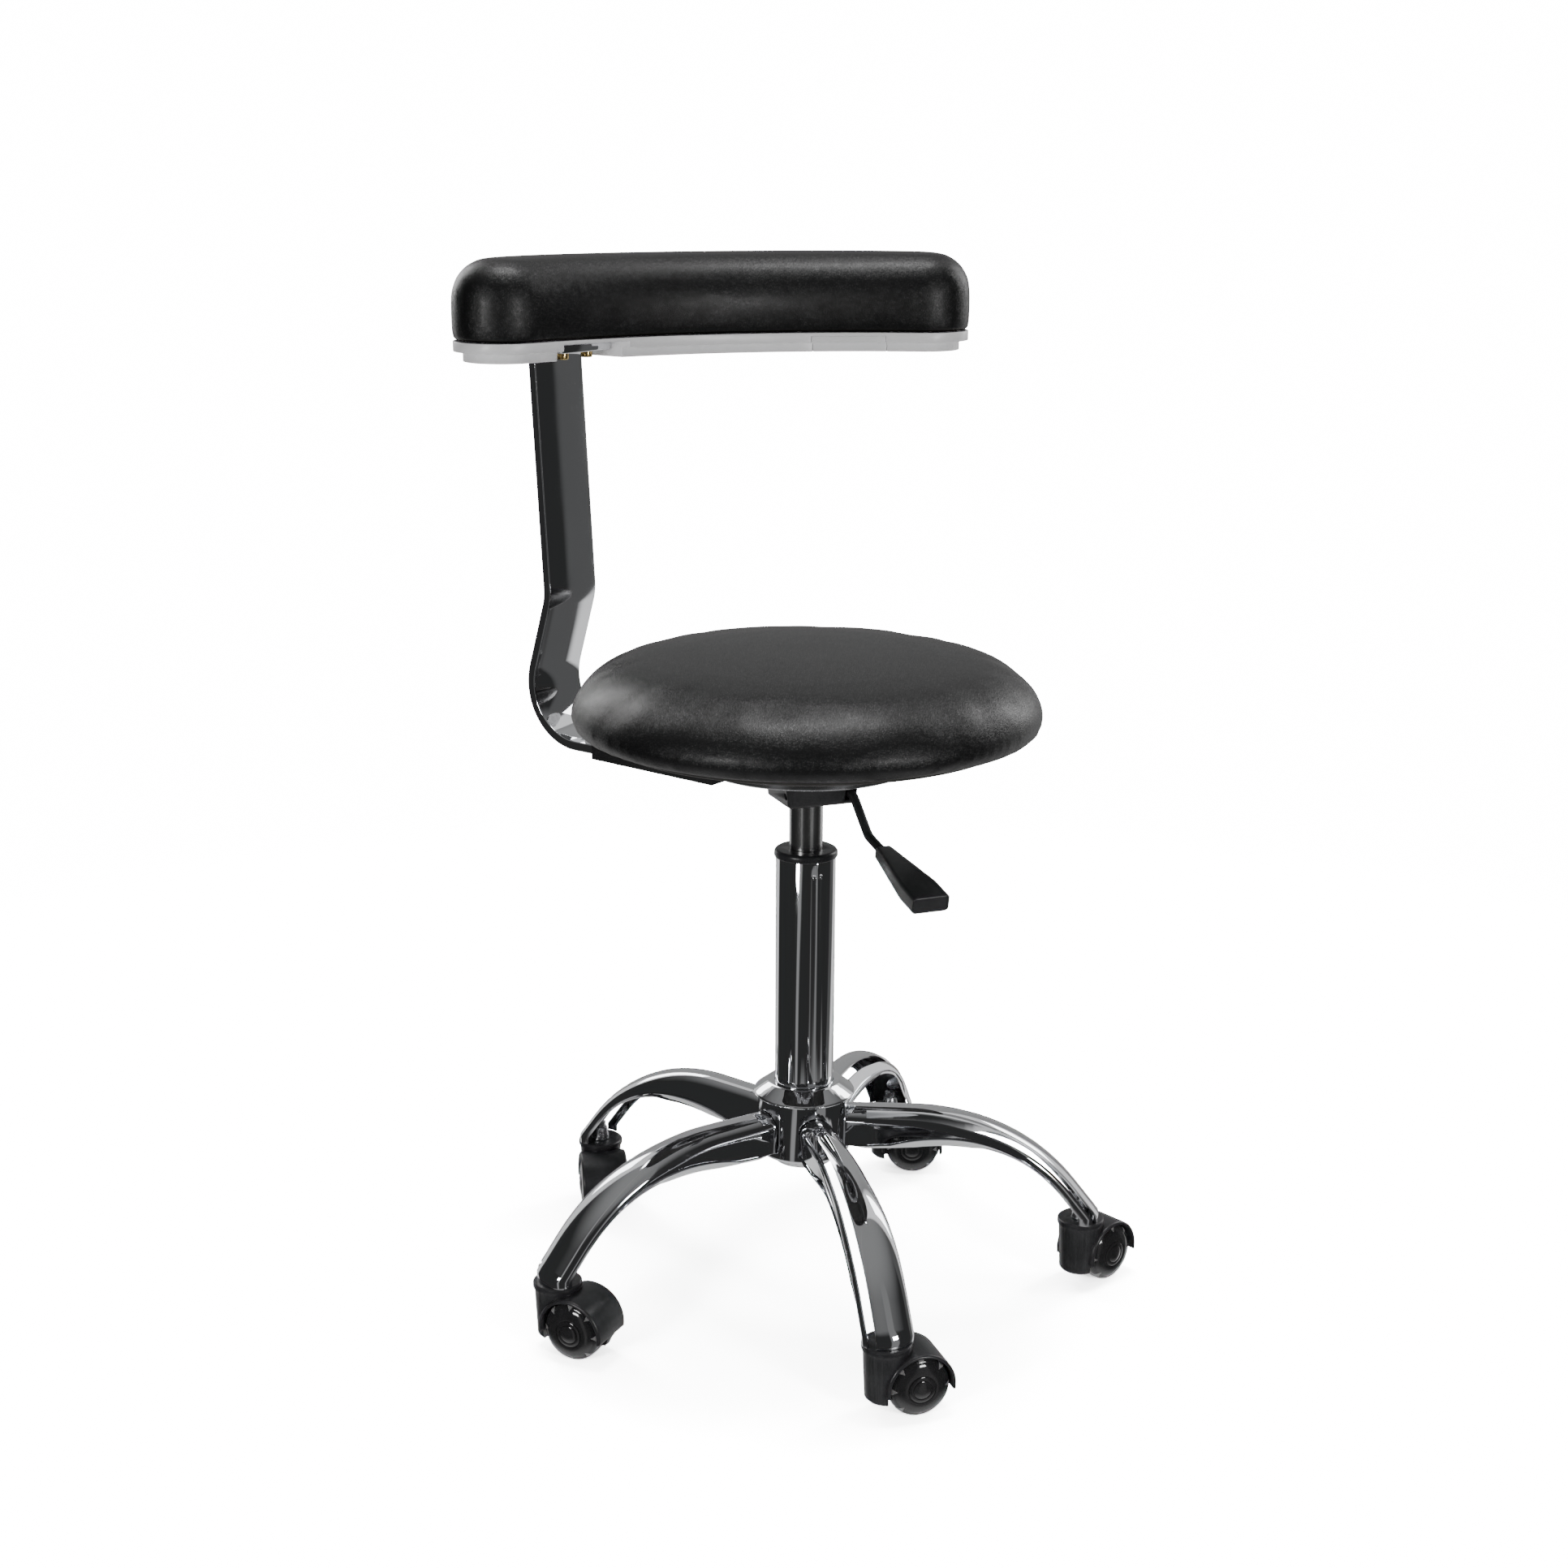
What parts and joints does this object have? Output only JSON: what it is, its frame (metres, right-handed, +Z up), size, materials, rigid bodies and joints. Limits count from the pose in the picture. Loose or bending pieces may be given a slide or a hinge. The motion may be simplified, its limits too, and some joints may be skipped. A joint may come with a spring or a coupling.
{
  "type": "rolling stylist stool",
  "caption": "Height-adjustable round stylist stool on a chromed star base with twin-wheel casters and a curved padded backrest on a flat steel bar that swings round the seat",
  "frame": {"origin": "on the floor, under the axis of the column, in the plane that the casters' treads stand on", "axes": "+Z up along the column; +Y from the column towards the middle of the backrest, so the sitter faces -Y; +X to the lever's side"},
  "size_m": [0.5276, 0.5539, 0.8615],
  "materials": {
    "chrome": "bright polished chrome plate",
    "zinc_steel": "zinc plated",
    "brushed_cylinder": "turned and brushed",
    "disc_steel": "dull zinc plate",
    "black_paint": "satin black powder coat",
    "black_nylon": "fine moulded grain",
    "wheel_gloss": "glossy",
    "wheel_tread": "clear smoke polyurethane",
    "vinyl": "satin artificial leather with a fine grain",
    "board": "black stained plywood",
    "tray_white": "satin light grey",
    "gold_screw": "yellow passivated"
  },
  "bodies": {
    "base": {"hub": "chrome", "hub_collar": "chrome", "leg_1": "chrome", "leg_2": "chrome", "leg_3": "chrome", "leg_4": "chrome", "leg_5": "chrome", "caster_sockets": "zinc_steel", "caster_stems": "zinc_steel", "column_tube": "chrome", "guide_bushing": "black_nylon", "thrust_bearing": "zinc_steel"},
    "spindle": {"piston_rod": "zinc_steel", "column_clip": "zinc_steel"},
    "seat": {"gas_cylinder": "brushed_cylinder", "lift_mechanism": "black_paint", "seat_board": "board", "seat_cushion": "vinyl", "seat_bolts": "zinc_steel"},
    "backrest": {"swivel_disc": "disc_steel", "bar_bracket": "black_paint", "back_bar": "chrome", "bar_bolts": "zinc_steel", "back_tray": "tray_white", "tray_cover": "tray_white", "back_cushion": "vinyl", "tray_screws": "gold_screw"},
    "lever": {"lever_rod": "black_paint", "lever_paddle": "black_nylon"},
    "valve": {"valve_pin": "brushed_cylinder"},
    "caster_1": {"caster_1_hood": "black_nylon", "caster_1_axle": "zinc_steel"},
    "wheel_1_left": {"caster_1_left_core": "wheel_gloss", "caster_1_left_tread": "wheel_tread"},
    "wheel_1_right": {"caster_1_right_core": "wheel_gloss", "caster_1_right_tread": "wheel_tread"},
    "caster_2": {"caster_2_hood": "black_nylon", "caster_2_axle": "zinc_steel"},
    "wheel_2_left": {"caster_2_left_core": "wheel_gloss", "caster_2_left_tread": "wheel_tread"},
    "wheel_2_right": {"caster_2_right_core": "wheel_gloss", "caster_2_right_tread": "wheel_tread"},
    "caster_3": {"caster_3_hood": "black_nylon", "caster_3_axle": "zinc_steel"},
    "wheel_3_left": {"caster_3_left_core": "wheel_gloss", "caster_3_left_tread": "wheel_tread"},
    "wheel_3_right": {"caster_3_right_core": "wheel_gloss", "caster_3_right_tread": "wheel_tread"},
    "caster_4": {"caster_4_hood": "black_nylon", "caster_4_axle": "zinc_steel"},
    "wheel_4_left": {"caster_4_left_core": "wheel_gloss", "caster_4_left_tread": "wheel_tread"},
    "wheel_4_right": {"caster_4_right_core": "wheel_gloss", "caster_4_right_tread": "wheel_tread"},
    "caster_5": {"caster_5_hood": "black_nylon", "caster_5_axle": "zinc_steel"},
    "wheel_5_left": {"caster_5_left_core": "wheel_gloss", "caster_5_left_tread": "wheel_tread"},
    "wheel_5_right": {"caster_5_right_core": "wheel_gloss", "caster_5_right_tread": "wheel_tread"}
  },
  "joints": [
    {"name": "spindle_swivel", "type": "hinge", "parent": "base", "child": "spindle", "pos_m": [0, 0, 0.118], "axis": [0, 0, 1], "continuous": true},
    {"name": "column_lift", "type": "slide", "parent": "spindle", "child": "seat", "axis": [0, 0, 1], "range_m": [-0.02, 0.12]},
    {"name": "back_swing", "type": "hinge", "parent": "seat", "child": "backrest", "pos_m": [0, 0, 0.4655], "axis": [0, 0, 1], "continuous": true},
    {"name": "lever_pull", "type": "hinge", "parent": "seat", "child": "lever", "pos_m": [0.028, -0.021, 0.4395], "axis": [-1, 0, 0], "range_deg": [0, 6], "stiffness_Nm_per_rad": 1},
    {"name": "valve_press", "type": "slide", "parent": "seat", "child": "valve", "axis": [0, 0, -1], "range_m": [0, 0.0025], "stiffness_N_per_m": 400},
    {"name": "caster_1_swivel", "type": "hinge", "parent": "base", "child": "caster_1", "pos_m": [0.16276, 0.17638, 0.055], "axis": [0, 0, 1], "continuous": true},
    {"name": "wheel_1_left_spin", "type": "hinge", "parent": "caster_1", "child": "wheel_1_left", "pos_m": [0.18798, 0.17841, 0.025], "axis": [0.4226, 0.9063, 0], "continuous": true},
    {"name": "wheel_1_right_spin", "type": "hinge", "parent": "caster_1", "child": "wheel_1_right", "pos_m": [0.17741, 0.15575, 0.025], "axis": [0.4226, 0.9063, 0], "continuous": true},
    {"name": "caster_2_swivel", "type": "hinge", "parent": "base", "child": "caster_2", "pos_m": [-0.11745, 0.2093, 0.055], "axis": [0, 0, 1], "continuous": true},
    {"name": "wheel_2_left_spin", "type": "hinge", "parent": "caster_2", "child": "wheel_2_left", "pos_m": [-0.1098, 0.18518, 0.025], "axis": [0.9781, -0.2079, 0], "continuous": true},
    {"name": "wheel_2_right_spin", "type": "hinge", "parent": "caster_2", "child": "wheel_2_right", "pos_m": [-0.13425, 0.19038, 0.025], "axis": [0.9781, -0.2079, 0], "continuous": true},
    {"name": "caster_3_swivel", "type": "hinge", "parent": "base", "child": "caster_3", "pos_m": [-0.23535, -0.04703, 0.055], "axis": [0, 0, 1], "continuous": true},
    {"name": "wheel_3_left_spin", "type": "hinge", "parent": "caster_3", "child": "wheel_3_left", "pos_m": [-0.21134, -0.05501, 0.025], "axis": [0.7431, 0.6691, 0], "continuous": true},
    {"name": "wheel_3_right_spin", "type": "hinge", "parent": "caster_3", "child": "wheel_3_right", "pos_m": [-0.22992, -0.07174, 0.025], "axis": [0.7431, 0.6691, 0], "continuous": true},
    {"name": "caster_4_swivel", "type": "hinge", "parent": "base", "child": "caster_4", "pos_m": [-0.028, -0.23836, 0.055], "axis": [0, 0, 1], "continuous": true},
    {"name": "wheel_4_left_spin", "type": "hinge", "parent": "caster_4", "child": "wheel_4_left", "pos_m": [-0.00538, -0.22703, 0.025], "axis": [0.0523, 0.9986, 0], "continuous": true},
    {"name": "wheel_4_right_spin", "type": "hinge", "parent": "caster_4", "child": "wheel_4_right", "pos_m": [-0.00668, -0.252, 0.025], "axis": [0.0523, 0.9986, 0], "continuous": true},
    {"name": "caster_5_swivel", "type": "hinge", "parent": "base", "child": "caster_5", "pos_m": [0.21804, -0.10029, 0.055], "axis": [0, 0, 1], "continuous": true},
    {"name": "wheel_5_left_spin", "type": "hinge", "parent": "caster_5", "child": "wheel_5_left", "pos_m": [0.23444, -0.08102, 0.025], "axis": [-0.342, 0.9397, 0], "continuous": true},
    {"name": "wheel_5_right_spin", "type": "hinge", "parent": "caster_5", "child": "wheel_5_right", "pos_m": [0.24299, -0.10451, 0.025], "axis": [-0.342, 0.9397, 0], "continuous": true}
  ],
  "couplings": [
    {"joint": "valve_press", "follows": "lever_pull", "m_per_rad": 0.0229}
  ]
}
